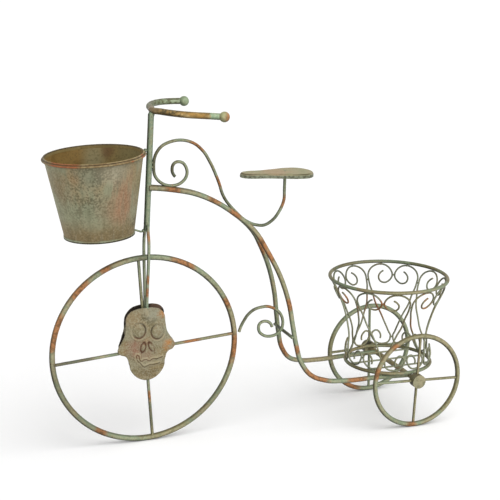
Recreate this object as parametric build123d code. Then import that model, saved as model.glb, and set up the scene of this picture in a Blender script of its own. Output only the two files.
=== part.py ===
from build123d import *
from math import cos, hypot, radians, sin, sqrt, tan
import os

# A three-wheeled bicycle planter: welded steel rod, a tin pail in front and a wire basket behind.
# Millimetres. X runs from the front wheel to the rear wheels, Y across, Z up from the ground.

# Clearances
weld_gap = 0.1
touch_gap = 0.25
groove_gap = 0.5
curl_gap = 0.6
journal_gap = 0.05
side_gap = 0.4
spoke_room = 0.3
wheel_room = 1.6

# Front wheel
front_wheel_r = 150.0
front_rim_d = 9.0
front_spoke_d = 5.0
front_spoke_turn = 4.2
front_hub_d = 14.0
front_axle_d = 6.0
spoke_count = 4

# Rear wheels
wheelbase = 440.0
rear_track = 178.0
rear_wheel_r = 76.5
rear_rim_d = 8.0
rear_spoke_d = 4.5
rear_spoke_turns = {"near": -2.5, "far": 1.5}
rear_hub_d = 23.0
rear_hub_length = 10.0
rear_axle_d = 8.5
rear_journal_d = 6.5
hub_cap_length = 3.5
hub_cap_wall = 1.5

# Steering column, handlebar and fork
stem_d = 9.5
stem_rake = 2.5
stem_foot_x = 2.6
stem_foot_room = 37.5
stem_length = 187.0
handlebar_d = 10.0
handlebar_reach = 84.0
handlebar_half_width = 85.0
handlebar_ball_d = 16.0
fork_d = 5.0
fork_lap = 10.0
fork_rim_room = 6.4

# Skull plates over the front hub
skull_width = 94.0
skull_height = 119.0
skull_drop = 48.5
skull_dome_r = 1500.0
skull_sheet = 1.2
skull_tilt = 1.8
skull_lap = 15.0
skull_shifts = {"near": (-1.0, 0.0), "far": (4.5, 1.0)}

# Frame rods, scrolls and saddle
frame_rise = 452.0
rod_d = 8.0
rod_pair_gap = 0.4
rail_half_spread = 61.0
cross_bar_d = 5.3
cross_bar_drop = 16.0
cross_bar_set_forward = 1.8
scroll_d = 5.0
saddle_length = 123.0
saddle_width = 62.0
saddle_sheet = 1.6
saddle_rim = 7.5
saddle_round = 5.0
saddle_slope = 1.3

# Pail
pot_height = 123.0
pot_rim_r = 76.0
pot_bead_d = 6.0
pot_foot_r = 53.0
pot_sheet = 1.2
pot_floor_lift = 5.0
pot_foot_band = 4.0
pot_foot_flare = 1.4
pot_lean = 3.3
pot_stem_gap = 3.8
pot_foot_drop = 0.3
pot_lug_d = 4.0
pot_bracket_d = 3.0

# Basket
basket_set_forward = 14.0
basket_lean = 4.5
basket_top_r = 98.5
basket_bottom_r = 72.0
basket_height = 147.0
basket_ring_d = 6.0
basket_wire_d = 3.0
basket_wire_count = 12
basket_pair_angle = 57.5
basket_floor_spacing = 36.0

# Heights that follow from the sizes above
front_axle_z = front_wheel_r + front_rim_d / 2
rear_axle_z = rear_wheel_r + rear_rim_d / 2
stem_foot_z = front_axle_z + front_wheel_r + front_rim_d / 2 + stem_foot_room
handlebar_z = stem_foot_z + stem_length
wheel_y = rear_track / 2
sector = 360 / basket_wire_count

pieces = {}


def side(name):
    """-1 for the near side, which faces -Y, and 1 for the far side."""
    return -1 if name == "near" else 1


# Paths and rods

def unit(v):
    return v / v.length


def tangents(points, closed=False):
    """Direction at each point: that of the circle through it and its two neighbours."""
    n = len(points)
    out = []
    for i in range(n):
        if not closed and i in (0, n - 1):
            out.append(None)
            continue
        a = points[i] - points[i - 1]
        b = points[(i + 1) % n] - points[i]
        out.append(unit(a / a.length ** 2 + b / b.length ** 2))
    if not closed:
        first = unit(points[1] - points[0])
        last = unit(points[-1] - points[-2])
        out[0] = unit(first * (2 * first.dot(out[1])) - out[1])
        out[-1] = unit(last * (2 * last.dot(out[-2])) - out[-2])
    return out


def arc(start, direction, end):
    """A circular arc from start, leaving along direction, or a line where it would be straight."""
    chord = unit(end - start)
    if direction.cross(chord).length < tan(radians(0.01)):
        return Edge.make_line(start, end)
    return Edge.make_tangent_arc(start, direction, end)


def smooth_wire(points, closed=False):
    """Two tangent arcs between each point and the next, so the bends flow into each other."""
    points = [Vector(*p) for p in points]
    ways = tangents(points, closed)
    edges = []
    last = len(points) if closed else len(points) - 1
    for i in range(last):
        p, q = points[i], points[(i + 1) % len(points)]
        s, t = ways[i], ways[(i + 1) % len(points)]
        v = q - p
        run = 2 * v.dot(s + t)
        bend = 2 * (s.dot(t) - 1)
        reach = 2 * v.dot(v) / (run + sqrt(run * run - 4 * bend * v.dot(v)))
        joint = (p + q + (s - t) * reach) / 2
        middle = unit((q - t * reach) - (p + s * reach))
        edges += [arc(p, s, joint), arc(joint, middle, q)]
    return Wire(edges)


def bent_rod(points, diameter):
    wire = smooth_wire(points)
    return sweep(Plane(origin=wire @ 0, z_dir=wire % 0) * Circle(diameter / 2), path=wire)


def straight_rod(start, end, diameter):
    start, end = Vector(*start), Vector(*end)
    way = end - start
    return Plane(origin=start, z_dir=way) * Cylinder(
        diameter / 2, way.length, align=(Align.CENTER, Align.CENTER, Align.MIN))


def cross_rod(x, z, y0, y1, diameter):
    """A rod along Y."""
    return straight_rod((x, y0, z), (x, y1, z), diameter)


def one_solid(shape):
    """The largest solid of a cut piece, without the offcut inside what it is welded to."""
    return max(shape.solids(), key=lambda s: s.volume)


# Front wheel: a bent rim rod, four spokes and a short tube for the axle

def wheel(name, x, y, z, radius, rim_d, spoke_d, turn, hub_d, hub_from, hub_to, bore_d):
    across = Plane(origin=(x, y, z), x_dir=(1, 0, 0), z_dir=(0, -1, 0))
    rim = across * Torus(radius, rim_d / 2)
    hub = cross_rod(x, z, hub_from, hub_to, hub_d) - cross_rod(x, z, hub_from, hub_to, bore_d)
    rim_cut = across * Torus(radius, rim_d / 2 + weld_gap)
    hub_cut = cross_rod(x, z, hub_from, hub_to, hub_d + 2 * weld_gap)
    spokes = []
    for k in range(spoke_count):
        a = radians(turn + 360 * k / spoke_count)
        tip = (x + radius * cos(a), y, z + radius * sin(a))
        spokes.append(one_solid(straight_rod((x, y, z), tip, spoke_d) - rim_cut - hub_cut))
    label, tail = name
    pieces[label + "_rim" + tail] = rim
    pieces[label + "_hub" + tail] = hub
    pieces[label + "_spokes" + tail] = Compound(spokes)


leg_inner_y = front_spoke_d / 2 + spoke_room
skull_seat_r = skull_height - skull_drop
dome_sag = skull_dome_r - sqrt(skull_dome_r ** 2 - skull_seat_r ** 2)
skull_y = leg_inner_y + fork_d + touch_gap + dome_sag
front_hub_half = skull_y - side_gap
wheel(("front_wheel", ""), 0, 0, front_axle_z, front_wheel_r, front_rim_d, front_spoke_d,
      front_spoke_turn, front_hub_d, -front_hub_half, front_hub_half, front_axle_d + 2 * journal_gap)


# Steering column: a straight rod that leans back a little

def stem_x(z):
    return stem_foot_x + (z - stem_foot_z) * tan(radians(stem_rake))


def stem_rod(z0, z1, diameter):
    return straight_rod((stem_x(z0), 0, z0), (stem_x(z1), 0, z1), diameter)


stem_cut = stem_rod(stem_foot_z - stem_length, handlebar_z + stem_length, stem_d + 2 * weld_gap)
stem_top_z = handlebar_z - handlebar_d / 2 - weld_gap
pieces["steering_stem"] = stem_rod(stem_foot_z, stem_top_z, stem_d)

# Handlebar: one rod bent to a U, open to the rear, with a steel ball on each end
handlebar_set_back = 3.0
bar_reach_shares = {"near": (0, 0.095, 0.196, 0.327, 0.47, 0.655, 0.81, 0.962),
                    "far": (0, 0.04, 0.077, 0.149, 0.274, 0.387, 0.5, 0.655, 0.833, 0.871)}
bar_width_shares = {"near": (0, 0.153, 0.33, 0.506, 0.653, 0.782, 0.882, 0.987),
                    "far": (0, 0.235, 0.47, 0.647, 0.83, 0.93, 0.988, 1.012, 1, 0.989)}
bar_x = stem_x(handlebar_z) + handlebar_set_back
bar_depth = handlebar_reach - handlebar_set_back
bar_half = {}
for name in ("near", "far"):
    half_width = side(name) * handlebar_half_width
    bar_half[name] = [(bar_x + bar_depth * r, half_width * w, handlebar_z)
                      for r, w in zip(bar_reach_shares[name], bar_width_shares[name])]
bar_points = bar_half["near"][:0:-1] + bar_half["far"]
bar_wire = smooth_wire(bar_points)
pieces["handlebar"] = bent_rod(bar_points, handlebar_d)
ball_seat = sqrt((handlebar_ball_d / 2) ** 2 - (handlebar_d / 2) ** 2)
for name, end, way in (("near", bar_wire @ 0, -(bar_wire % 0)), ("far", bar_wire @ 1, bar_wire % 1)):
    seat = Plane(origin=end + way * weld_gap, z_dir=way)
    ball = Pos(*(end + way * (weld_gap + ball_seat))) * Sphere(handlebar_ball_d / 2)
    pieces["handlebar_ball_" + name] = split(ball, bisect_by=seat, keep=Keep.TOP)

# Fork: two legs welded to the sides of the column, out past the rim and in to the axle
leg_top_y = stem_d / 2 + fork_d / 2 + weld_gap
leg_wide_y = front_rim_d / 2 + fork_rim_room + fork_d / 2
leg_hub_y = leg_inner_y + fork_d / 2
leg_drop = stem_foot_z - (front_axle_z + skull_seat_r - skull_lap)
leg_drop_shares = (-0.02, 0.11, 0.22, 0.4, 0.63, 0.84, 1)
leg_wide_shares = (0.12, 0.9, 1, 0.78, 0.32, 0.02, 0)
leg_base_y = (leg_top_y, leg_top_y, leg_hub_y, leg_hub_y, leg_hub_y, leg_hub_y, leg_hub_y)
for name in ("near", "far"):
    points = [(stem_x(stem_foot_z + fork_lap), side(name) * leg_top_y, stem_foot_z + fork_lap)]
    for drop, wide, base in zip(leg_drop_shares, leg_wide_shares, leg_base_y):
        y = base + (leg_wide_y - base) * wide
        z = stem_foot_z - leg_drop * drop
        points.append((stem_foot_x * (z - front_axle_z) / (stem_foot_z - front_axle_z), side(name) * y, z))
    pieces["fork_leg_" + name] = bent_rod(points, fork_d)

# Skull plates: two pieces of sheet, cut and slightly domed, that hide the hub from both sides
skull_width_shares = (0, 0.14, 0.25, 0.325, 0.346, 0.365, 0.42, 0.484, 0.5, 0.47, 0.36, 0.315, 0.29,
                      0.225, 0.125, 0)
skull_height_shares = (1, 0.997, 0.967, 0.9, 0.77, 0.665, 0.576, 0.495, 0.455, 0.41, 0.36, 0.27, 0.165,
                       0.085, 0.025, 0)
skull_half = [(skull_width * w, skull_height * h - skull_drop)
              for w, h in zip(skull_width_shares, skull_height_shares)]
skull_outline = skull_half + [(-x, z) for x, z in skull_half[-2:0:-1]]
dish_middle = skull_height / 2


def dome_y(reach):
    """The plate's inner face, reach millimetres from the middle of the hub."""
    return skull_y + sqrt(skull_dome_r ** 2 - reach ** 2) - skull_dome_r


dish_inside = Edge.make_three_point_arc(
    (0, skull_y, 0), (dish_middle, dome_y(dish_middle), 0), (skull_height, dome_y(skull_height), 0))
dish_outside = Pos(0, skull_sheet, 0) * dish_inside
dish_section = Face(Wire([dish_inside, Edge.make_line(dish_inside @ 1, dish_outside @ 1), dish_outside,
                          Edge.make_line(dish_outside @ 0, dish_inside @ 0)]))
dish = revolve(dish_section, Axis.Y)
for name in ("near", "far"):
    way = side(name)
    shift_x, shift_z = skull_shifts[name]
    face_on = Plane(origin=(shift_x, 0, front_axle_z + shift_z), x_dir=(1, 0, 0), z_dir=(0, -1, 0))
    outline = smooth_wire([(x, z, 0) for x, z in skull_outline], closed=True)
    blank = extrude(Rot(0, 0, skull_tilt) * Face(outline), amount=skull_y + skull_sheet, both=True)
    shell = dish if way > 0 else mirror(dish, about=Plane.XZ)
    pieces["skull_plate_" + name] = one_solid(face_on * blank & Pos(0, 0, front_axle_z) * shell)
pieces["front_axle"] = cross_rod(0, front_axle_z, weld_gap - skull_y, skull_y - weld_gap, front_axle_d)

# Backbone: two rods side by side from the column, which part, drop and run back as rails
backbone_x_shares = (0.098, 0.185, 0.262, 0.337, 0.376, 0.412, 0.455, 0.498, 0.526, 0.541, 0.552,
                     0.571, 0.609, 0.664, 0.739, 0.864, 1)
backbone_z_shares = (0.729, 0.709, 0.675, 0.626, 0.595, 0.558, 0.487, 0.396, 0.303, 0.212, 0.148,
                     0.08, 0.031, 0.01, 0.003, 0.003, 0)
backbone_y_shares = (0, 0, 0, 0.035, 0.042, 0.068, 0.17, 0.345, 0.47, 0.548, 0.596,
                     0.666, 0.754, 0.842, 0.895, 0.947, 1)
backbone_start_share = 0.74
pair_y = (rod_d + rod_pair_gap) / 2


def frame_x(share):
    return wheelbase * share


def frame_z(share):
    return rear_axle_z + frame_rise * share


start_z = frame_z(backbone_start_share)
backbone = [(stem_x(start_z), pair_y, start_z)]
for sx, sy, sz in zip(backbone_x_shares, backbone_y_shares, backbone_z_shares):
    backbone.append((frame_x(sx), pair_y + (rail_half_spread - pair_y) * sy, frame_z(sz)))
rear_axle_cut = cross_rod(wheelbase, rear_axle_z, -wheel_y, wheel_y, rear_axle_d + 2 * weld_gap)
for name in ("near", "far"):
    rod = bent_rod([(x, side(name) * y, z) for x, y, z in backbone], rod_d)
    pieces["backbone_rod_" + name] = one_solid(one_solid(rod - stem_cut) - rear_axle_cut)

# Cross bar: a short rod between the two rods, where they drop
cross_index = backbone_z_shares.index(0.212) + 1
cross_x, cross_y, cross_z = backbone[cross_index]
cross_z -= cross_bar_drop
cross_x -= cross_bar_set_forward
cross_y += rod_d / 4
cross_bar = cross_rod(cross_x, cross_z, -cross_y, cross_y, cross_bar_d)
for way in (-1, 1):
    rod_cut = bent_rod([(x, way * y, z) for x, y, z in backbone[cross_index - 3:cross_index + 4]],
                       rod_d + 2 * weld_gap)
    cross_bar = one_solid(cross_bar - rod_cut)
pieces["cross_bar"] = cross_bar


# Top scroll: one wire that curls behind the column, follows the backbone and rises to the saddle

def on_backbone(index):
    """The middle of a wire that lies in the groove on top of the two rods."""
    before, after = backbone[index - 1], backbone[index + 1]
    dx, dz = after[0] - before[0], after[2] - before[2]
    x, y, z = backbone[index]
    groove = sqrt((rod_d / 2 + scroll_d / 2 + groove_gap) ** 2 - y ** 2)
    return (x - groove * dz / hypot(dx, dz), 0, z + groove * dx / hypot(dx, dz))


scroll_curl_shares = ((0.111, 0.773), (0.1, 0.794), (0.11, 0.82), (0.134, 0.821), (0.152, 0.801),
                      (0.153, 0.772), (0.134, 0.75))
scroll_rise_shares = ((0.058, 0.755), (0.036, 0.783))
scroll_bow_shares = ((0.038, 0.847), (0.06, 0.878), (0.096, 0.894), (0.137, 0.897), (0.176, 0.886),
                     (0.214, 0.856), (0.242, 0.813), (0.27, 0.753), (0.296, 0.686))
seat_post_shares = ((0.42, 0.581), (0.45, 0.578), (0.482, 0.593), (0.509, 0.624), (0.5265, 0.664),
                    (0.528, 0.704))
stem_touch_share = 0.81
seat_post_x = frame_x(0.528)
saddle_z = frame_z(0.7684)


def frame_points(shares):
    return [(frame_x(sx), 0, frame_z(sz)) for sx, sz in shares]


touch_z = frame_z(stem_touch_share)
touch_x = stem_x(touch_z) + stem_d / 2 + scroll_d / 2 + touch_gap
top_scroll = frame_points(scroll_curl_shares) + [on_backbone(1)] + frame_points(scroll_rise_shares)
top_scroll += [(touch_x, 0, touch_z)] + frame_points(scroll_bow_shares) + [on_backbone(4), on_backbone(5)]
top_scroll += frame_points(seat_post_shares) + [(seat_post_x, 0, saddle_z - saddle_sheet - touch_gap)]
pieces["top_scroll"] = bent_rod(top_scroll, scroll_d)

# Lower scroll: a wire arch with a curl, welded to the cross bar, that stops just behind the rim
lower_reach_shares = (0.031, 0.093, 0.195, 0.324, 0.477, 0.629, 0.764, 0.877, 0.95, 0.981, 0.95,
                      0.848, 0.708, 0.55, 0.437, 0.465, 0.584, 0.696, 0.736)
lower_z_shares = (0.207, 0.2275, 0.252, 0.268, 0.2745, 0.275, 0.266, 0.252, 0.233, 0.208, 0.184, 0.167,
                  0.161, 0.167, 0.19, 0.214, 0.22, 0.21, 0.196)
tip_z = frame_z(0.19)
tip_r = front_wheel_r + front_rim_d / 2 + wheel_room + scroll_d / 2
tip_x = sqrt(tip_r ** 2 - (tip_z - front_axle_z) ** 2)
lower_scroll = [(tip_x, 0, tip_z)]
lower_scroll += [(tip_x + (cross_x - tip_x) * across, 0, frame_z(up))
                 for across, up in zip(lower_reach_shares, lower_z_shares)]
lower_rod = bent_rod(lower_scroll, scroll_d)
bar_cut = cross_rod(cross_x, cross_z, -cross_y, cross_y, cross_bar_d + 2 * weld_gap)
pieces["lower_scroll"] = one_solid(lower_rod - bar_cut)

# Saddle: a pressed sheet with its edge turned down
saddle_length_shares = (0, 0.03, 0.1, 0.3, 0.5, 0.7, 0.86, 0.965, 1)
saddle_width_shares = (0, 0.16, 0.235, 0.28, 0.385, 0.49, 0.46, 0.25, 0)
saddle_post_share = 0.613
saddle_half = [(saddle_length * (u - saddle_post_share), saddle_width * w)
               for u, w in zip(saddle_length_shares, saddle_width_shares)]
saddle_points = saddle_half + [(x, -y) for x, y in saddle_half[-2:0:-1]]
saddle_face = Face(smooth_wire([(x, y, 0) for x, y in saddle_points], closed=True))
saddle = extrude(saddle_face, amount=saddle_rim, dir=(0, 0, -1))
saddle = fillet(saddle.edges().group_by(Axis.Z)[-1], saddle_round)
hollow = extrude(offset(saddle_face, amount=-saddle_sheet), amount=saddle_rim, dir=(0, 0, -1))
hollow = fillet(hollow.edges().group_by(Axis.Z)[-1], saddle_round - saddle_sheet)
saddle -= Pos(0, 0, -saddle_sheet) * hollow
pieces["saddle"] = Pos(seat_post_x, 0, saddle_z) * Rot(0, saddle_slope, 0) * saddle

# Pail: a tapered tin wall, a set-in floor, a rolled rim and a foot band, leaning with the column
pot_rim_z = stem_foot_z - pot_foot_drop + pot_height * cos(radians(pot_lean))
lean_x, lean_z = pot_rim_r * cos(radians(pot_lean)), pot_rim_r * sin(radians(pot_lean))
pot_back_z = pot_rim_z + lean_z
pot_x = stem_x(pot_back_z) - stem_d / 2 - pot_stem_gap - pot_bead_d / 2 - lean_x
pot_top_r = pot_rim_r - pot_bead_d / 4
pot_at = Pos(pot_x, 0, pot_rim_z) * Rot(0, -pot_lean, 0) * Pos(0, 0, -pot_height)
bead_drop = sqrt((pot_bead_d / 2) ** 2 - (pot_bead_d / 4) ** 2) + weld_gap
pot_wall_height = pot_height - bead_drop


def pot_r(height):
    """Outside radius of the pail's wall, height above its foot."""
    return pot_foot_r + (pot_top_r - pot_foot_r) * height / pot_wall_height


def pot_cone(low, high, grow=0):
    return Pos(0, 0, low) * Cone(pot_r(low) + grow, pot_r(high) + grow, high - low,
                                 align=(Align.CENTER, Align.CENTER, Align.MIN))


pot_wall = pot_cone(0, pot_wall_height) - pot_cone(0, pot_wall_height, -pot_sheet)
pot_floor = pot_cone(pot_floor_lift, pot_floor_lift + pot_sheet, -pot_sheet - weld_gap)
pot_band = Cone(pot_foot_r + pot_foot_flare, pot_r(pot_foot_band) + pot_sheet / 2, pot_foot_band,
                align=(Align.CENTER, Align.CENTER, Align.MIN)) - pot_cone(0, pot_foot_band, weld_gap)
pot_bead = Pos(0, 0, pot_height) * Torus(pot_rim_r, pot_bead_d / 2)
pieces["pot_wall"] = pot_at * pot_wall
pieces["pot_floor"] = pot_at * pot_floor
pieces["pot_rim"] = pot_at * pot_bead
pieces["pot_foot_band"] = pot_at * pot_band

# Pail fixings: a weld lug at the rim and a small bent wire at the foot
bead_cut = pot_at * Pos(0, 0, pot_height) * Torus(pot_rim_r, pot_bead_d / 2 + weld_gap)
lug = straight_rod((pot_x + lean_x, 0, pot_back_z), (stem_x(pot_back_z), 0, pot_back_z), pot_lug_d)
pieces["pot_rim_lug"] = one_solid(lug - bead_cut - stem_cut)
bracket_end_share = 0.3
bracket_sag_share = 0.25
bracket_z = stem_foot_z + pot_bracket_d
bracket_from = (pot_at * Pos(pot_foot_r, 0, pot_foot_band / 2)).position
bracket_span = stem_x(bracket_z) - bracket_from.X
bracket_sag = bracket_span * bracket_sag_share / 2
bracket = [(bracket_from.X, 0, bracket_from.Z),
           (bracket_from.X + bracket_span * bracket_end_share, 0, bracket_from.Z - bracket_sag),
           (stem_x(bracket_z) - bracket_span * bracket_sag_share, 0, bracket_z - bracket_sag),
           (stem_x(bracket_z), 0, bracket_z + pot_bracket_d)]
pot_body_cut = pot_at * (pot_cone(0, pot_wall_height, weld_gap) + pot_cone(0, pot_foot_band, pot_foot_flare))
pieces["pot_lower_bracket"] = one_solid(bent_rod(bracket, pot_bracket_d) - pot_body_cut - stem_cut)

# Basket rings: the bottom one lies on the rails
rail_z = frame_z(backbone_z_shares[-2])
basket_z = rail_z + rod_d / 2 + basket_ring_d / 2 + weld_gap
basket_top_x = wheelbase - basket_set_forward


def basket_x(height):
    """The basket's axis, which leans a little to the rear at its foot."""
    return basket_top_x + basket_lean * (1 - height / basket_height)


pieces["basket_top_ring"] = Pos(basket_x(basket_height), 0, basket_z + basket_height) * Torus(
    basket_top_r, basket_ring_d / 2)
bottom_ring = Pos(basket_x(0), 0, basket_z)
pieces["basket_bottom_ring"] = bottom_ring * Torus(basket_bottom_r, basket_ring_d / 2)

# Basket wall: wires in mirrored pairs, each with a large curl on top and a small one below
wire_r = basket_wire_d / 2
touch = basket_ring_d / 2 + wire_r + touch_gap
top_touch_in = touch * sin(radians(25))
top_touch_down = touch * cos(radians(25))
foot_touch_in = touch * sin(radians(21))
foot_touch_up = touch * cos(radians(21))
wire_top = basket_height - top_touch_down
profile_height_shares = (0.1, 0.19, 0.31, 0.43, 0.53, 0.63, 0.735, 0.85)
profile_r_shares = (0.735, 0.718, 0.683, 0.695, 0.725, 0.768, 0.838, 0.918)
profile = [(basket_bottom_r - foot_touch_in, 0, foot_touch_up)]
for height, radius in zip(profile_height_shares, profile_r_shares):
    profile.append((basket_top_r * radius, 0, basket_height * height))
profile.append((basket_top_r - top_touch_in, 0, wire_top))
profile_wire = smooth_wire(profile)


def basket_r(height):
    """Radius of the wires' surface, read where a level line crosses the profile."""
    low, high = 0.0, 1.0
    for _ in range(30):
        middle = (low + high) / 2
        if (profile_wire @ middle).Z < height:
            low = middle
        else:
            high = middle
    return (profile_wire @ low).X


# Across the sector from the middle of the pair, and up from the lowest point to the highest
scroll_shares = ((0.35, 0.921), (0.475, 0.895), (0.56, 0.848), (0.505, 0.8), (0.32, 0.781), (0.125, 0.806),
                 (0, 0.874), (0.075, 0.935), (0.232, 0.981), (0.45, 1), (0.69, 0.984), (0.89, 0.939),
                 (0.99, 0.881), (1, 0.82), (0.985, 0.752), (0.935, 0.692), (0.8, 0.537), (0.585, 0.432),
                 (0.35, 0.307), (0.128, 0.181), (0, 0.093), (0.1, 0.026), (0.37, 0), (0.7, 0.012),
                 (0.93, 0.068), (1, 0.122), (0.92, 0.166), (0.76, 0.181), (0.58, 0.15), (0.53, 0.066))


def basket_point(pair, way, across, height):
    """A point of the wall, across millimetres from the middle of its pair."""
    radius = basket_r(height)
    a = radians(pair) + way * across / radius
    return (basket_x(height) + radius * cos(a), radius * sin(a), basket_z + height)


def basket_wire(pair, way):
    edge = wire_r + curl_gap
    points = []
    for across_share, height_share in scroll_shares:
        height = foot_touch_up + (wire_top - foot_touch_up) * height_share
        room = radians(sector) * basket_r(height) - 2 * edge
        points.append(basket_point(pair, way, edge + room * across_share, height))
    return bent_rod(points, basket_wire_d)


for k in range(basket_wire_count):
    pair = basket_pair_angle + 2 * sector * (k // 2)
    pieces["basket_scroll_%02d" % (k + 1)] = basket_wire(pair, 1 if k % 2 else -1)

# Basket floor: three straight wires between the sides of the bottom ring
ring_cut = bottom_ring * Torus(basket_bottom_r, basket_ring_d / 2 + weld_gap)
floor_wires = []
for row in (-1, 0, 1):
    y = row * basket_floor_spacing
    half = sqrt(basket_bottom_r ** 2 - y ** 2)
    wire = straight_rod((basket_x(0) - half, y, basket_z), (basket_x(0) + half, y, basket_z), basket_wire_d)
    floor_wires.append(one_solid(wire - ring_cut))
pieces["basket_floor_wires"] = Compound(floor_wires)

# Rear axle: a rod with thinner journals, a wheel on each and a cap on each end
hub_in = wheel_y - rear_hub_length / 2
hub_out = wheel_y + rear_hub_length / 2
cap_in = hub_out + side_gap
cap_out = cap_in + hub_cap_length
shoulder = hub_in - side_gap
journal_end = cap_out - hub_cap_wall - weld_gap
rear_axle = cross_rod(wheelbase, rear_axle_z, -shoulder, shoulder, rear_axle_d)
rear_axle += cross_rod(wheelbase, rear_axle_z, -journal_end, journal_end, rear_journal_d)
pieces["rear_axle"] = rear_axle
for name in ("near", "far"):
    way = side(name)
    wheel(("rear_wheel", "_" + name), wheelbase, way * wheel_y, rear_axle_z, rear_wheel_r, rear_rim_d,
          rear_spoke_d, rear_spoke_turns[name], rear_hub_d, way * hub_in, way * hub_out,
          rear_journal_d + 2 * journal_gap)
    cap = cross_rod(wheelbase, rear_axle_z, way * cap_in, way * cap_out, rear_hub_d)
    socket = cross_rod(wheelbase, rear_axle_z, way * cap_in, way * (journal_end + weld_gap),
                       rear_journal_d + 2 * weld_gap)
    pieces["hub_cap_" + name] = cap - socket

# The origin is on the ground, under the middle of the planter
boxes = [piece.bounding_box() for piece in pieces.values()]
middle_x = (min(b.min.X for b in boxes) + max(b.max.X for b in boxes)) / 2
middle_y = (min(b.min.Y for b in boxes) + max(b.max.Y for b in boxes)) / 2
ground_z = min(b.min.Z for b in boxes)
print("front axle at", -middle_x, -middle_y, front_axle_z - ground_z)
print("rear axle at", wheelbase - middle_x, -middle_y, rear_axle_z - ground_z)

os.makedirs("parts", exist_ok=True)
for name, piece in pieces.items():
    placed = Pos(-middle_x, -middle_y, -ground_z) * piece
    placed.label = name
    export_step(placed, "parts/" + name + ".step")
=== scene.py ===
from math import cos, exp, hypot, pi, radians, sin, sqrt

import bmesh
import bpy
from mathutils import Matrix, Vector, noise


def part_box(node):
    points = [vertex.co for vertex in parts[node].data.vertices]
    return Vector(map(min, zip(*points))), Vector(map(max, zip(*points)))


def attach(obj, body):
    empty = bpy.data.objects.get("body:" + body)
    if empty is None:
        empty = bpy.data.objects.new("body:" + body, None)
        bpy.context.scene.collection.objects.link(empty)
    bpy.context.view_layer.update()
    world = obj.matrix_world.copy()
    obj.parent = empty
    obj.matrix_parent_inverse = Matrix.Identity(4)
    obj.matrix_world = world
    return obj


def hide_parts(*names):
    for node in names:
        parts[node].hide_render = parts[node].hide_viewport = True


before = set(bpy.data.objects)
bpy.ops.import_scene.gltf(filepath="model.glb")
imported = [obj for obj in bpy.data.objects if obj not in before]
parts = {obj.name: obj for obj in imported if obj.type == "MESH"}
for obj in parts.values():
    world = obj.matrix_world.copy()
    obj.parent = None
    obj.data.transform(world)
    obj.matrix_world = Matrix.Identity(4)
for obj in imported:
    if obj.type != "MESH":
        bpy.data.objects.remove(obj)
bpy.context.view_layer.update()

# The planter is seen from the front wheel's side, a little from above.
# Place, turn and lens follow the ellipses of its wheels and rings in the photograph.
eye = Vector((-0.7513, -1.8907, 0.8355))
turn, rise, roll = radians(-21.4149), radians(14.7087), radians(0.9117)
backward = Vector((sin(turn) * cos(rise), -cos(turn) * cos(rise), sin(rise)))
level = Vector((cos(turn), sin(turn), 0))
upright = backward.cross(level)
rightward = level * cos(roll) + upright * sin(roll)
upward = upright * cos(roll) - level * sin(roll)
camera = bpy.data.objects.new("camera", bpy.data.cameras.new("camera"))
camera.matrix_world = Matrix((rightward, upward, backward)).transposed().to_4x4()
camera.matrix_world.translation = eye
camera.data.sensor_width = 36
camera.data.lens = 94.45
bpy.context.scene.collection.objects.link(camera)
bpy.context.scene.camera = camera
bpy.context.scene.view_settings.view_transform = "Standard"


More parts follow.
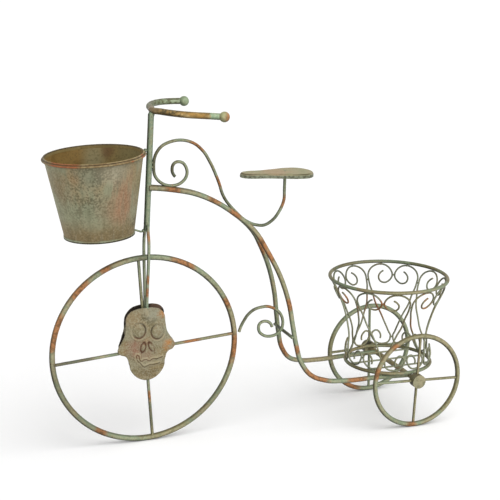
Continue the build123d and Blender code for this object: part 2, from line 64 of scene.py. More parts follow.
# The studio: a plain pale floor, a soft main light from above the right shoulder, and a fill light.
# The floor and the backdrop show white to the camera and in reflections, and are darker as light.
class Tone:
    """A socket of a finish: sums of tones add Math nodes, and node() adds a node of any other kind."""

    def __init__(self, socket):
        self.socket = socket

    def node(self, kind, settings=None, values=None, output=0):
        tree = self.socket.id_data
        made = tree.nodes.new(kind)
        for name, value in (settings or {}).items():
            setattr(made, name, value)
        for name, value in (values or {}).items():
            if isinstance(value, Tone):
                tree.links.new(value.socket, made.inputs[name])
            else:
                made.inputs[name].default_value = value
        return Tone(made.outputs[output])

    def beside(self, output):
        """Another output of the node that this tone comes from."""
        return Tone(self.socket.node.outputs[output])

    def math(self, operation, first, second=0.0):
        return self.node("ShaderNodeMath", {"operation": operation}, {0: first, 1: second})

    def __add__(self, other):
        return self.math("ADD", self, other)

    def __sub__(self, other):
        return self.math("SUBTRACT", self, other)

    def __rsub__(self, other):
        return self.math("SUBTRACT", other, self)

    def __mul__(self, other):
        return self.math("MULTIPLY", self, other)

    __radd__ = __add__
    __rmul__ = __mul__

    def largest(self, other):
        return self.math("MAXIMUM", self, other)

    def absolute(self):
        return self.math("ABSOLUTE", self)

    def axis(self, which):
        """One of a vector's three parts: 0, 1 or 2."""
        return self.node("ShaderNodeSeparateXYZ", None, {0: self}, which)

    def length(self):
        return self.node("ShaderNodeVectorMath", {"operation": "LENGTH"}, {0: self}, 1)

    def along(self, x, y, z):
        """How far this direction points along a given one."""
        return self.node("ShaderNodeVectorMath", {"operation": "DOT_PRODUCT"}, {0: self, 1: (x, y, z)}, 1)

    def drawn(self, x, y, z):
        """The places squeezed along each axis, which draws a cloud out there."""
        return self.node("ShaderNodeMapping", None, {"Vector": self, "Scale": (x, y, z)})

    def step(self, low, high):
        """0 below low, 1 above high, and a soft edge between."""
        return self.node("ShaderNodeMapRange", {"interpolation_type": "SMOOTHSTEP"},
                         {"Value": self, "From Min": low, "From Max": high})

    def over(self, under, top):
        """The colour under, with top laid on it where this mask is 1."""
        return self.node("ShaderNodeMix", {"data_type": "RGBA"}, {0: self, 6: under, 7: top}, 2)

    def cloud(self, size, detail=2.0, shift=0.0):
        """Noise whose blots are about size metres across, from 0 to 1."""
        moved = self.node("ShaderNodeMapping", None, {"Vector": self, "Location": (shift, -shift, shift)})
        return self.node("ShaderNodeTexNoise", None,
                         {"Vector": moved, "Scale": 0.5 / size, "Detail": detail})

    def near(self, x, y, z, reach):
        """1 inside a ball of that reach round a place, 0 outside, with an edge of a third of it."""
        away = self.node("ShaderNodeVectorMath", {"operation": "DISTANCE"}, {0: self, 1: (x, y, z)}, 1)
        return (reach - away) * (3 / reach)


FLOOR_SHOWN, FLOOR_LIGHT, SKY_LIGHT = 0.99, 0.58, 0.52
FLOOR_HALF = 30


def grey(shade):
    return shade, shade, shade, 1


def unlit_rays(surface):
    """1 for the camera's own rays and for reflections, 0 for the rays that carry light."""
    camera_ray = surface.node("ShaderNodeLightPath", output="Is Camera Ray")
    seen = camera_ray.largest(camera_ray.beside("Is Glossy Ray"))
    return seen.largest(camera_ray.beside("Is Transmission Ray"))


def stage_floor():
    floor_mesh = bmesh.new()
    bmesh.ops.create_grid(floor_mesh, x_segments=1, y_segments=1, size=FLOOR_HALF)
    floor = bpy.data.objects.new("floor", bpy.data.meshes.new("floor"))
    floor_mesh.to_mesh(floor.data)
    floor_mesh.free()
    bpy.context.scene.collection.objects.link(floor)
    material = bpy.data.materials.new("floor_white")
    material.use_nodes = True
    shader = material.node_tree.nodes["Principled BSDF"]
    base = shader.inputs["Base Color"]
    shown = unlit_rays(Tone(base)).over(grey(FLOOR_LIGHT), grey(FLOOR_SHOWN))
    material.node_tree.links.new(shown.socket, base)
    shader.inputs["Roughness"].default_value = 1.0
    shader.inputs["Specular IOR Level"].default_value = 0.0
    floor.data.materials.append(material)


def sun(name, toward, strength, spread):
    lamp = bpy.data.objects.new(name, bpy.data.lights.new(name, "SUN"))
    lamp.data.energy = strength
    lamp.data.angle = radians(spread)
    lamp.rotation_euler = Vector(toward).to_track_quat("Z", "Y").to_euler()
    bpy.context.scene.collection.objects.link(lamp)


stage_floor()
sun("main_light", toward=(0.3, -0.42, 0.85), strength=1.7, spread=60)
sun("fill_light", toward=(-0.55, -0.8, 0.3), strength=0.9, spread=80)
world = bpy.data.worlds.new("studio")
world.use_nodes = True
bpy.context.scene.world = world
backdrop = world.node_tree.nodes["Background"].inputs["Color"]
sky = unlit_rays(Tone(backdrop)).over(grey(SKY_LIGHT), grey(1))
world.node_tree.links.new(sky.socket, backdrop)


# The steering column is a plain upright rod, and the fork two thinner rods welded to its sides.
# All are sprayed verdigris green and sponged with olive and rust orange, with dark wax specks; painted shade
# darkens their undersides, left sides and edges, and a painted highlight runs down the faces toward front
# and back.
def pigment(red, green, blue):
    """A paint's colour from its 8-bit shade, as the shader's linear light."""
    return tuple(((shade / 255 + 0.055) / 1.055) ** 2.4 for shade in (red, green, blue)) + (1.0,)


def start_finish(name):
    """A new material, with the places on the object and the way its surface faces."""
    material = bpy.data.materials.new(name)
    material.use_nodes = True
    shader = material.node_tree.nodes["Principled BSDF"]
    shader.inputs["Specular IOR Level"].default_value = 0.25
    place = Tone(shader.inputs["Base Color"]).node("ShaderNodeTexCoord", output="Object")
    return material, place, place.beside("Normal")


def end_finish(material, colour, roughness, bumps, depth):
    tree = material.node_tree
    shader = tree.nodes["Principled BSDF"]
    relief = bumps.node("ShaderNodeBump", None, {"Height": bumps, "Strength": 0.8, "Distance": depth})
    tree.links.new(colour.socket, shader.inputs["Base Color"])
    tree.links.new(roughness.socket, shader.inputs["Roughness"])
    tree.links.new(relief.socket, shader.inputs["Normal"])
    return material


def dress(material, *names):
    """Gives carried-over nodes a finish."""
    for name in names:
        parts[name].data.materials.clear()
        parts[name].data.materials.append(material)


GREEN, MINT = pigment(128, 142, 113), pigment(170, 182, 150)
OLIVE, TAN = pigment(124, 117, 80), pigment(158, 140, 103)
RUST, RUST_DEEP = pigment(192, 124, 72), pigment(130, 82, 44)
# The darkest tone is for dark wax and painted shade, the edge tone for painted shade along edges, and the
# pale tone for painted highlights.
SHADE_AND_WAX, EDGE_SHADE, PAINTED_HIGHLIGHT = pigment(40, 38, 26), pigment(72, 68, 44), pigment(204, 200, 164)


def aged_paint(name, olive, tan, rust, shade_and_wax, ground=GREEN, shift=0.0, spots=(), dark_spots=()):
    """Green paint with sponged stretches of olive and tan and dark wax specks, with painted shade
    on the faces turned down and left and along the edges, and a painted highlight down the faces
    toward the front and back.

    Rust comes through at the spots, each a place and reach, and the paint is darker at the dark
    spots, each a place, reach and strength; some are painted shade, where a part lies behind, under
    or between others. The shift moves the clouds, so that no two paints look alike.
    """
    material, place, facing = start_finish(name)
    stretch, patch = place.cloud(0.06, 1, shift), place.cloud(0.012, 3, shift + 0.3)
    speck = place.cloud(0.0028, 4)
    mottle = stretch * 0.55 + patch * 0.3 + speck * 0.15
    colour = mottle.step(0.56 - 0.18 * olive, 0.66 - 0.18 * olive).over(ground, OLIVE)
    yellowed = place.cloud(0.045, 2, shift + 0.8) * 0.55 + patch * 0.25 + speck * 0.2
    colour = (yellowed.step(0.6 - 0.18 * tan, 0.7 - 0.18 * tan) * 0.85).over(colour, TAN)
    colour = (speck.step(0.3, 0.46) * -0.3 + 0.3).over(colour, MINT)
    rearward = facing.axis(0)
    side = facing.axis(1).absolute()
    low = facing.along(-0.6, 0.1, -0.79)
    # Painted highlight: a broken pale streak down the faces that look toward the front and back.
    highlight_and_wear = side.step(0.72, 0.97) * speck.step(0.34, 0.54) * 0.45
    colour = highlight_and_wear.over(colour, PAINTED_HIGHLIGHT)
    rusty = place.cloud(0.025, 2, shift + 1.7) * 0.7 + speck * 0.3
    rusty = rusty.step(0.72 - 0.2 * rust, 0.78 - 0.2 * rust)
    for x, y, z, reach in spots:
        rusty = rusty.largest((place.near(x, y, z, reach * 1.15) + patch * 2 + speck - 1.2).step(0, 1.9))
    colour = (rusty * 0.85).over(colour, speck.step(0.38, 0.6).over(RUST_DEEP, RUST))
    # Painted shade along the edges that turn away from the front and back, lighter where they face right.
    edge = (1 - side.step(0.3, 0.88)) * (1 - rearward.step(0.2, 0.8) * 0.7)
    colour = (edge * (patch.step(0.3, 0.6) * 0.3 + 0.7) * shade_and_wax * 0.88).over(colour, EDGE_SHADE)
    # Painted shade on the faces turned down and to the left, together with dark wax specks.
    underside_shade_and_specks = low.step(0.1, 0.75) * (patch.step(0.3, 0.6) * 0.3 + 0.7) + speck.step(0.54, 0.66) * 0.35
    colour = (underside_shade_and_specks * shade_and_wax).over(colour, SHADE_AND_WAX)
    # Darker at each dark spot; some are painted shade, where a part lies behind, under or between others.
    for x, y, z, reach, strength in dark_spots:
        colour = ((place.near(x, y, z, reach) + speck - 0.5).step(0, 1.2) * strength).over(colour, SHADE_AND_WAX)
    roughness = speck * 0.3 + rusty * 0.1 + 0.32
    return end_finish(material, colour, roughness, speck * 0.7 + patch * 0.6, depth=0.0004)


column_paint = aged_paint("column_green", olive=-0.2, tan=-0.2, rust=0.0, shade_and_wax=1.0,
                          ground=pigment(124, 146, 120))
dress(column_paint, "steering_stem", "pot_rim_lug", "pot_lower_bracket")
fork_paint = aged_paint(
    "fork_green", olive=-0.1, tan=0.0, rust=0.0, shade_and_wax=0.9, ground=pigment(132, 148, 124), shift=2.0,
    spots=((-0.183, -0.006, 0.338, 0.011), (-0.183, -0.009, 0.272, 0.009), (-0.183, -0.012, 0.25, 0.009)))
dress(fork_paint, "fork_leg_near", "fork_leg_far")

UNEVEN, LUMP_GRAIN, LUMP_SEED = 0.3, 500, 90


def weld_beads(name, body, paint, places):
    """Small uneven lumps of weld metal, each given by its place and radius in millimetres."""
    lumps = bmesh.new()
    for x, y, z, radius in places:
        middle = Vector((x, y, z)) / 1000
        lump = bmesh.ops.create_icosphere(lumps, subdivisions=2, radius=radius / 1000)
        for vert in lump["verts"]:
            vert.co *= 1 + UNEVEN * noise.noise(vert.co * LUMP_GRAIN + middle * LUMP_SEED)
            vert.co += middle
    for face in lumps.faces:
        face.smooth = True
    made = bpy.data.objects.new(name, bpy.data.meshes.new(name))
    lumps.to_mesh(made.data)
    lumps.free()
    bpy.context.scene.collection.objects.link(made)
    made.data.materials.append(paint)
    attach(made, body)


weld_beads("column_welds", "frame", column_paint, (
    (-174.0, 0, 527.6, 4.9), (-171.8, 0, 529.2, 3.0), (-183.4, 0, 473.2, 2.9), (-187.0, 0, 347.6, 2.9),
    (-204.2, 0, 349.6, 2.0), (-181.8, -4.9, 355.6, 2.4), (-181.8, 4.9, 355.6, 2.4),
    (-182.0, -4.6, 351.0, 2.2), (-182.0, 4.6, 351.0, 2.2), (-184.0, -7.7, 224.6, 2.2),
    (-184.0, 7.7, 224.6, 2.2), (-176.0, -5.4, 414.6, 3.0), (-176.0, 5.4, 414.6, 3.0),
    (-175.6, 0, 411.4, 3.0)))


# The handlebar is one bent rod with a steel ball welded on each end.
# The near arm is rubbed down to brown and gold, its end and the far arm are left green.
ARM_TURN = radians(35)
WORN_TO, WORN_EDGE = 0.034, 0.024


def handlebar_finish():
    material, place, facing = start_finish("handlebar_brown")
    turned = place.node("ShaderNodeMapping", None, {"Vector": place, "Rotation": (0, 0, ARM_TURN)})
    streak = turned.drawn(0.3, 1, 1).cloud(0.0035, 4)
    patch, speck = place.cloud(0.01, 3), place.cloud(0.0025, 4)
    green = speck.step(0.45, 0.6).over(pigment(128, 140, 108), pigment(96, 98, 66))
    brown = streak.step(0.36, 0.56).over(pigment(120, 94, 50), pigment(184, 150, 90))
    gold = (place.near(-0.122, -0.056, 0.534, 0.03) + patch - 0.5).step(0, 1.5)
    brown = gold.over(brown, streak.step(0.38, 0.6).over(pigment(182, 142, 76), pigment(224, 192, 132)))
    up = facing.axis(2)
    # Dark dabs, and painted shade on the tops of the bar.
    dabs = speck.step(0.47, 0.6) * (place.near(-0.15, -0.03, 0.535, 0.034).step(0, 2) * 0.6 + 0.3)
    brown = (dabs + up.step(0.5, 0.95) * 0.35).over(brown, pigment(84, 76, 46))
    front = (place.near(-0.176, 0.0, 0.536, 0.024) + patch - 0.5).step(0, 2) * 0.8
    brown = front.over(brown, speck.step(0.4, 0.6).over(pigment(166, 152, 124), pigment(140, 116, 84)))
    across = place.axis(1)
    worn = (WORN_TO - across + (patch - 0.5) * 0.04).step(0.0, WORN_EDGE)
    green = (up.step(0.3, 0.9) * speck.step(0.4, 0.58) * 0.6).over(green, pigment(74, 76, 50))
    colour = worn.over(green, brown)
    sleeve = (place.near(-0.091, -0.085, 0.5335, 0.021) + patch * 2 + speck - 1.5).step(0, 0.7)
    mint = speck.step(0.4, 0.6).over(pigment(186, 202, 166), pigment(158, 184, 148))
    colour = (sleeve * 0.95).over(colour, mint)
    side = facing.axis(1).absolute()
    # Painted highlight: a broken pale streak down the faces that look toward the front and back.
    highlight_streak = side.step(0.8, 0.97) * streak.step(0.58, 0.4) * 0.9
    colour = highlight_streak.over(colour, worn.over(pigment(176, 190, 156), pigment(210, 178, 124)))
    # Painted shade along the edges that turn away from the front and back.
    colour = ((1 - side.step(0.25, 0.8)) * 0.5).over(colour, pigment(76, 68, 42))
    # Painted shade on the faces turned down and to the left.
    low = facing.along(-0.5, 0.2, -0.84)
    colour = (low.step(0.1, 0.8) * 0.7).over(colour, SHADE_AND_WAX)
    return end_finish(material, colour, speck * 0.3 + 0.3, speck * 0.7 + patch * 0.5, depth=0.0004)


dress(handlebar_finish(), "handlebar")
ball_ochre = aged_paint("ball_ochre", olive=0.2, tan=0.6, rust=0.2, shade_and_wax=0.6, ground=pigment(180, 180, 132),
                        spots=((-0.0825, -0.0905, 0.5325, 0.0097),))
ball_green = aged_paint("ball_green", olive=0.1, tan=0.1, rust=0.0, shade_and_wax=0.5, ground=pigment(146, 164, 130))
dress(ball_ochre, "handlebar_ball_near")
dress(ball_green, "handlebar_ball_far")

# The front wheel is a hoop of thick rod, closed by a weld, with four rod spokes into a small hub.
# Its paint is mostly olive and green, with rust orange sponged on in stretches.
HUB = (-0.18467, 0.1545)
# Painted shade darkens the rim's lower left; the wheel is also darker where the spokes meet the rim and low
# on the right.
front_paint = aged_paint(
    "front_wheel_olive", olive=0.65, tan=0.5, rust=0.1, shade_and_wax=0.95, shift=4.0,
    spots=((-0.291, 0, 0.262, 0.02), (-0.326, 0, 0.205, 0.022), (-0.25, 0, 0.293, 0.012),
           (-0.12, 0, 0.291, 0.021), (-0.036, 0, 0.142, 0.026), (-0.05, 0, 0.219, 0.012),
           (-0.108, 0, 0.1605, 0.014), (-0.177, 0, 0.076, 0.01), (-0.333, 0, 0.178, 0.014),
           (-0.26, 0, 0.0257, 0.012)),
    dark_spots=((-0.305, 0, 0.0705, 0.1, 0.3), (-0.3, 0, 0.1475, 0.038, 0.5), (-0.178, 0, 0.042, 0.026, 0.45),
          (-0.082, 0, 0.048, 0.05, 0.25), (-0.19, 0, 0.3, 0.02, 0.25)))
dress(front_paint, "front_wheel_rim", "front_wheel_spokes", "front_wheel_hub", "front_axle")


def spoke_ends(x, y, z, reach, first, bead):
    """The welds of a wheel's four spokes to its rim: its middle, then the first spoke's angle in degrees."""
    turns = [radians(first + 90 * spoke) for spoke in range(4)]
    return [(x + reach * cos(turn), y, z + reach * sin(turn), bead) for turn in turns]


weld_beads("front_wheel_welds", "front_wheel", front_paint,
           spoke_ends(x=HUB[0] * 1000, y=0, z=HUB[1] * 1000, reach=147, first=4.2, bead=2.9))

# Two skull plates of thin sheet hide the hub: the outline is cut and the face is pressed in relief.
# Dark wax stays in the pressed lines and the face is dabbed with rust. Painted shade darkens one side of
# each eye ring, the turned edge, the faces turned down and left and the gap between the plates, and
# the crests are worn pale with a painted highlight.
SHEET_FACE, SHEET_BACK, DISH = 0.0109, 0.0097, 1 / 3e6
FACE_STEP, LINE_DEPTH, FLAT_ON, TURNED_OUT = 0.0044, 0.0006, 0.95, 0.3
# The relief, in millimetres from the hub: middles, half sizes and leans, and points along the lips
EYE_RISE, SOCKET_RISE, NOSE_RISE, LIP_RISE, PARTING_RISE = 1.9, 1.1, 0.9, 1.5, 0.9
EYES = ((-13.6, 34.4, 10.3, 11.7), (16.6, 30.2, 10.0, 11.3))
NOSTRILS = ((-6.9, 6.7, 3.9, 7.8, 13.3), (6.5, 6.3, 3.6, 8.4, -28.5))
UPPER_LIP = ((-17.7, -10), (-18.7, -6.3), (-16.6, -4.4), (-14.1, -6.8), (-13.6, -11), (-12.1, -14.8),
             (-9.1, -15.7), (-6, -13.4), (-1.9, -13.4), (1.2, -15.8), (3.8, -16.1), (6.4, -13.8),
             (10, -13.1), (14.6, -14.2), (19.8, -12.7), (23.9, -11.6))
LOWER_LIP = ((-17.7, -12.1), (-15.2, -16), (-12.1, -18.4), (-9.1, -23), (-5.5, -26), (-0.9, -23.9),
             (3.2, -22.3), (7.4, -22.8), (13.5, -22.4), (19.8, -21))
PARTING = ((-2, 70), (1, 58))
FAR_EDGE_SHIFTS = ((0.003, 46, 12), (0.0034, 24, 12), (0.0018, -27, 14))
FAR_NARROWING = (0.00006, 16, 14)


def ridge(away, wide):
    """A smooth rise that is 1 where away is 0."""
    return exp(-(away / wide) ** 2)


def off_line(u, v, line):
    """How far a place of the plate is from a drawn line, in millimetres."""
    least = 99.0
    for (a, b), (c, d) in zip(line, line[1:]):
        along = ((u - a) * (c - a) + (v - b) * (d - b)) / ((c - a) ** 2 + (d - b) ** 2)
        along = min(1.0, max(0.0, along))
        least = min(least, hypot(u - a - (c - a) * along, v - b - (d - b) * along))
    return least


def pressing(u, v):
    """How far the die lifts the sheet at a place, how deep its line is, and its crest's wear and painted
    highlight.
    """
    lift, line, crest = 0.0, 0.0, 0.0
    for middle_u, middle_v, wide, tall in EYES:
        across, up = (u - middle_u) / wide, (v - middle_v) / tall
        ring = hypot(across, up)
        inward = -across if middle_u > 0 else across
        lift += EYE_RISE * max(0.0, 1 - ring ** 4) + SOCKET_RISE * ridge(ring - 1.28, 0.14)
        # Each eye ring's line is deeper and darker toward the nose and at the bottom; the darkness is
        # painted shade.
        line += ridge(ring - 1.04, 0.12) * min(1.1, max(0.12, 0.65 + 0.7 * inward - 0.45 * up))
        # Painted highlight: a pale crest outside each eye ring, low and away from the nose.
        crest += 0.6 * ridge(ring - 1.24, 0.1) * max(0.0, 0.5 - 0.2 * inward - 0.5 * up)
    for middle_u, middle_v, wide, tall, lean in NOSTRILS:
        c, s = cos(radians(lean)), sin(radians(lean))
        du, dv = u - middle_u, v - middle_v
        ring = hypot((du * c - dv * s) / wide, (du * s + dv * c) / tall)
        lift += NOSE_RISE * max(0.0, 1 - ring ** 2)
        line += 1.4 * ridge(ring - 1, 0.27) * (1.0 if du < 0.5 or middle_u < 0 else 0.4)
    upper, lower = off_line(u, v, UPPER_LIP), off_line(u, v, LOWER_LIP)
    line += ridge(upper, 0.8) + 0.8 * ridge(lower, 0.85)
    lift += LIP_RISE * ridge(min(upper, lower), 3.2)
    # Worn paint with a painted highlight along the ridges beside the lips.
    crest += 0.6 * ridge(min(upper, lower) - 2.0, 1.1)
    parting = ridge(off_line(u, v, PARTING), 2.4)
    return lift + PARTING_RISE * parting, min(line, 1.0), min(crest + 0.4 * parting, 1.0)


def pressed_plate(name, node, way):
    """The node's plate, cut fine enough to press, with its relief raised on the outside."""
    plate = bmesh.new()
    plate.from_mesh(parts[node].data)
    bmesh.ops.remove_doubles(plate, verts=plate.verts, dist=1e-6)
    bmesh.ops.dissolve_limit(plate, angle_limit=radians(4), verts=plate.verts, edges=plate.edges)
    low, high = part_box(node)
    for axis in (0, 2):
        cut, across = low.copy(), Vector((axis == 0, 0, axis == 2))
        while cut[axis] + FACE_STEP < high[axis]:
            cut[axis] += FACE_STEP
            bmesh.ops.bisect_plane(plate, geom=plate.verts[:] + plate.edges[:] + plate.faces[:],
                                   plane_co=cut, plane_no=across)
    bmesh.ops.triangulate(plate, faces=plate.faces)
    bmesh.ops.subdivide_edges(plate, edges=plate.edges, cuts=3, use_grid_fill=True)
    plate.normal_update()
    lines_and_shade = plate.verts.layers.float.new("lines_and_shade")
    highlight_and_wear = plate.verts.layers.float.new("highlight_and_wear")
    for vert in plate.verts:
        u = (vert.co.x - HUB[0]) * 1000
        v = (vert.co.z - HUB[1]) * 1000
        lift, line, crest = pressing(u if way < 0 else -u, v)
        if abs(vert.normal.y) > FLAT_ON:
            face = SHEET_FACE if vert.normal.y * way > 0 else SHEET_BACK
            vert.co.y = way * (face - (u * u + v * v) * DISH)
        if vert.normal.y * way > TURNED_OUT:
            # Painted shade on the sheet's turned edge, except where it faces right, is stored with the dark
            # lines.
            bent = abs(vert.normal.y) < FLAT_ON and vert.normal.x < TURNED_OUT
            vert[lines_and_shade], vert[highlight_and_wear] = max(line, 0.6 * bent), crest
            vert.co.y -= way * line * LINE_DEPTH
        vert.co.y += way * lift * 0.001
        if way > 0:
            vert.co.x -= sum(most * ridge(v - middle, wide) for most, middle, wide in FAR_EDGE_SHIFTS)
            narrowing, middle, wide = FAR_NARROWING
            vert.co.x -= narrowing * u * ridge(v - middle, wide)
    for face in plate.faces:
        face.smooth = True
    made = bpy.data.objects.new(name, bpy.data.meshes.new(name))
    plate.to_mesh(made.data)
    plate.free()
    bpy.context.scene.collection.objects.link(made)
    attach(made, "frame")
    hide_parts(node)
    return made


# The pale grey dab just right of the parting ridge is a painted highlight.
SKULL_DABS = (
    (8, 62, 22, 0.7, (156, 160, 142)), (36, 30, 22, 0.7, (148, 152, 130)),
    (-38, 40, 20, 0.6, (144, 146, 124)), (-28, 58, 18, 0.5, (158, 142, 108)),
    (24, 58, 14, 1.0, (206, 132, 66)), (34, 9, 16.5, 1.0, (208, 134, 60)),
    (23, -4, 14, 0.4, (166, 136, 84)), (-36, 5, 18, 0.7, (150, 124, 76)),
    (-21, 6, 23, 0.9, (146, 98, 78)), (0, 14, 17, 0.7, (172, 132, 96)),
    (-1, -6, 19, 0.75, (146, 112, 90)), (12, -33, 23, 0.7, (148, 124, 74)),
    (-12, -36, 22, 0.5, (126, 112, 78)), (0, -46, 14, 0.6, (134, 134, 112)),
    (-5, 55, 14, 0.85, (92, 80, 52)), (7, 48, 14, 0.8, (98, 86, 56)),
    (-18, -20, 15, 0.5, (116, 100, 64)), (-13.6, 34.4, 15, 0.5, (146, 138, 112)),
    (16.6, 30.2, 15, 0.5, (156, 148, 122)), (6, 55, 12, 0.6, (164, 164, 148)))
LINE_COLOUR, LINE_RED = pigment(58, 48, 34), pigment(84, 48, 26)
INSIDE_SHADE, INSIDE_RED = pigment(46, 40, 32), pigment(104, 82, 66)
HALF_SHEET, JAW_HEIGHT = 0.01031, 0.15


def skull_finish():
    material, place, facing = start_finish("skull_paint")
    stretch, patch, speck = place.cloud(0.02, 2, 1.0), place.cloud(0.007, 4), place.cloud(0.0011, 4)
    wiped = place.drawn(0.3, 1, 1).cloud(0.0022, 3)
    colour = (stretch * 0.6 + speck * 0.4).step(0.42, 0.58)
    colour = colour.over(pigment(152, 145, 118), pigment(150, 132, 99))
    colour = ((patch * 0.7 + speck * 0.3).step(0.5, 0.62) * 0.7).over(colour, pigment(130, 122, 88))
    for u, v, reach, strength, tint in SKULL_DABS:
        there = place.near(HUB[0] + u / 1000, 0, HUB[1] + v / 1000, reach / 1000)
        dab = (there + patch * 3 + speck * 1.5 - 2.3).step(0, 2) * strength
        colour = dab.over(colour, pigment(*tint))
    jaw = 1 - (place.axis(2) - JAW_HEIGHT).step(-0.01, 0.02)
    colour = (wiped.step(0.5, 0.64) * jaw * 0.5).over(colour, pigment(94, 80, 50))
    colour = (speck.step(0.5, 0.66) * 0.35).over(colour, pigment(96, 84, 56))
    colour = (speck.step(0.5, 0.36) * 0.3).over(colour, pigment(180, 172, 146))
    # Worn paint and a painted highlight, pale on the crests.
    crest = place.node("ShaderNodeAttribute", {"attribute_name": "highlight_and_wear"}, None, 2)
    colour = (crest * (speck.step(0.3, 0.5) * 0.5 + 0.35)).over(colour, pigment(190, 176, 142))
    # Dark wax in the pressed lines, with painted shade on one side of each eye ring and on the turned edge.
    lines_and_shade = place.node("ShaderNodeAttribute", {"attribute_name": "lines_and_shade"}, None, 2)
    red = place.near(-0.19, -0.011, 0.161, 0.03).step(0, 1)
    colour = (lines_and_shade * 0.9).over(colour, red.over(LINE_COLOUR, LINE_RED))
    # Painted shade on the plates' inner faces, seen in the gap between them; reddish paint in one place.
    from_hub = place.node("ShaderNodeVectorMath", {"operation": "SUBTRACT"},
                          {0: place, 1: (HUB[0], 0, HUB[1])})
    reach = from_hub.length()
    inside = HALF_SHEET - from_hub.axis(1).absolute() - reach * reach * (DISH * 1e6)
    red = place.near(-0.164, 0.01, 0.2225, 0.014).step(0, 1.5)
    colour = inside.step(-0.0002, 0.0002).over(colour, red.over(INSIDE_SHADE, INSIDE_RED))
    # Painted shade on the faces turned down and to the left.
    low = facing.along(-0.6, 0, -0.8)
    colour = (low.step(0.3, 0.8) * 0.75).over(colour, SHADE_AND_WAX)
    bumps = speck * 0.6 + patch * 0.5 + wiped * 0.3
    return end_finish(material, colour, speck * 0.3 + 0.42, bumps, depth=0.0005)


skull_paint = skull_finish()
skull_near = pressed_plate("skull_face_near", "skull_plate_near", -1)
skull_far = pressed_plate("skull_face_far", "skull_plate_far", 1)
for plate in (skull_near, skull_far):
    plate.data.materials.append(skull_paint)

# Two long rods leave the column side by side, part, drop behind the saddle and run back as rails.
# A short bar joins them in the drop; rust is sponged on where they bend.
# Painted shade darkens the rods between them in the drop; they are also a little darker by the column.
frame_paint = aged_paint(
    "frame_green", olive=0.4, tan=0.5, rust=0.15, shade_and_wax=0.75, shift=6.0,
    spots=((-0.141, -0.004, 0.409, 0.014), (-0.039, -0.005, 0.365, 0.016), (0.004, -0.01, 0.312, 0.014),
           (0.016, -0.014, 0.292, 0.012), (0.045, -0.03, 0.215, 0.013), (0.066, 0.036, 0.113, 0.02),
           (-0.07, -0.004, 0.395, 0.015), (0.0512, -0.03, 0.137, 0.015), (0.0565, -0.042, 0.139, 0.009),
           (0.09, -0.05, 0.091, 0.024), (0.16, -0.057, 0.084, 0.018), (0.012, 0.012, 0.3, 0.014),
           (0.036, 0.03, 0.197, 0.013)),
    dark_spots=((0.05, 0, 0.161, 0.034, 0.6), (-0.155, 0, 0.415, 0.06, 0.14)))
dress(frame_paint, "backbone_rod_near", "backbone_rod_far", "cross_bar")

# The two scrolls are thinner rod: one curls behind the column and rises to the saddle,
# the other is an arch with a curl that starts just behind the front wheel.
scroll_paint = aged_paint(
    "scroll_olive", olive=0.05, tan=0.1, rust=0.1, shade_and_wax=1.0, shift=8.0,
    spots=((-0.101, 0, 0.477, 0.016), (-0.062, 0, 0.418, 0.012), (0.046, 0, 0.379, 0.012),
           (0.027, 0, 0.202, 0.009)),
    dark_spots=((-0.142, 0, 0.437, 0.018, 0.6), (-0.046, 0, 0.395, 0.024, 0.45), (0.018, 0, 0.35, 0.026, 0.5),
          (-0.168, 0, 0.457, 0.026, 0.5), (-0.018, 0, 0.195, 0.024, 0.45), (-0.12, 0, 0.45, 0.09, 0.12)))
dress(scroll_paint, "top_scroll", "lower_scroll")
weld_beads("frame_welds", "frame", frame_paint, (
    (-172.6, 0, 446.6, 2.4), (-172.4, 0, 453.4, 2.2), (-140.5, 0, 415.6, 2.6), (-34.5, 0, 366.1, 2.8),
    (-17.6, 0, 351.2, 2.8), (47.6, 0, 425.2, 3.4), (51.6, -36.6, 160.3, 2.8), (51.6, 36.6, 160.3, 2.8),
    (49.4, 0, 161.9, 2.5), (251.6, -59, 80.5, 3.4), (251.6, 59, 80.5, 3.4), (203.6, -58.6, 85.9, 2.5),
    (203.6, 58.6, 85.9, 2.5)))


# The saddle is pressed from sheet with its edge turned down all round.
# The top is rubbed pinkish tan in the middle, with a broken dark line along the bend.
def saddle_finish():
    material, place, facing = start_finish("saddle_tan")
    patch, speck = place.cloud(0.012, 3), place.cloud(0.002, 4)
    up = facing.axis(2)
    top = patch.step(0.4, 0.6).over(pigment(144, 141, 106), pigment(154, 144, 112))
    middle = (place.near(0.03, 0.0, 0.43, 0.034) + patch * 2 - 1).step(0, 2)
    top = (middle * 0.7).over(top, pigment(164, 138, 108))
    side = speck.step(0.4, 0.6).over(pigment(134, 138, 116), pigment(98, 100, 80))
    colour = up.step(0.35, 0.6).over(side, top)
    bend = up.step(0.5, 0.75) * (1 - up.step(0.86, 0.97)) * place.cloud(0.02, 2).step(0.4, 0.56)
    colour = (bend * 0.85).over(colour, pigment(58, 50, 28))
    colour = (speck.step(0.56, 0.7) * 0.25).over(colour, SHADE_AND_WAX)
    return end_finish(material, colour, speck * 0.3 + 0.45, speck * 0.5 + patch * 0.5, depth=0.0004)


dress(saddle_finish(), "saddle")

# The pail is a tapered tin wall with a set-in floor, a rolled bead and a thin foot band.
# Its wash is grey green with brown and salmon streaks; inside it is ochre.
PAIL_FOOT, PAIL_LEAN, PAIL_HEIGHT = (-0.25688, 0.0, 0.3462), radians(-3.3), 0.123
WALL_SLOPE, WALL_FOOT, FLOOR_TOP, FLOOR_REACH = 0.17872, 0.0524, 0.0045, 0.0515
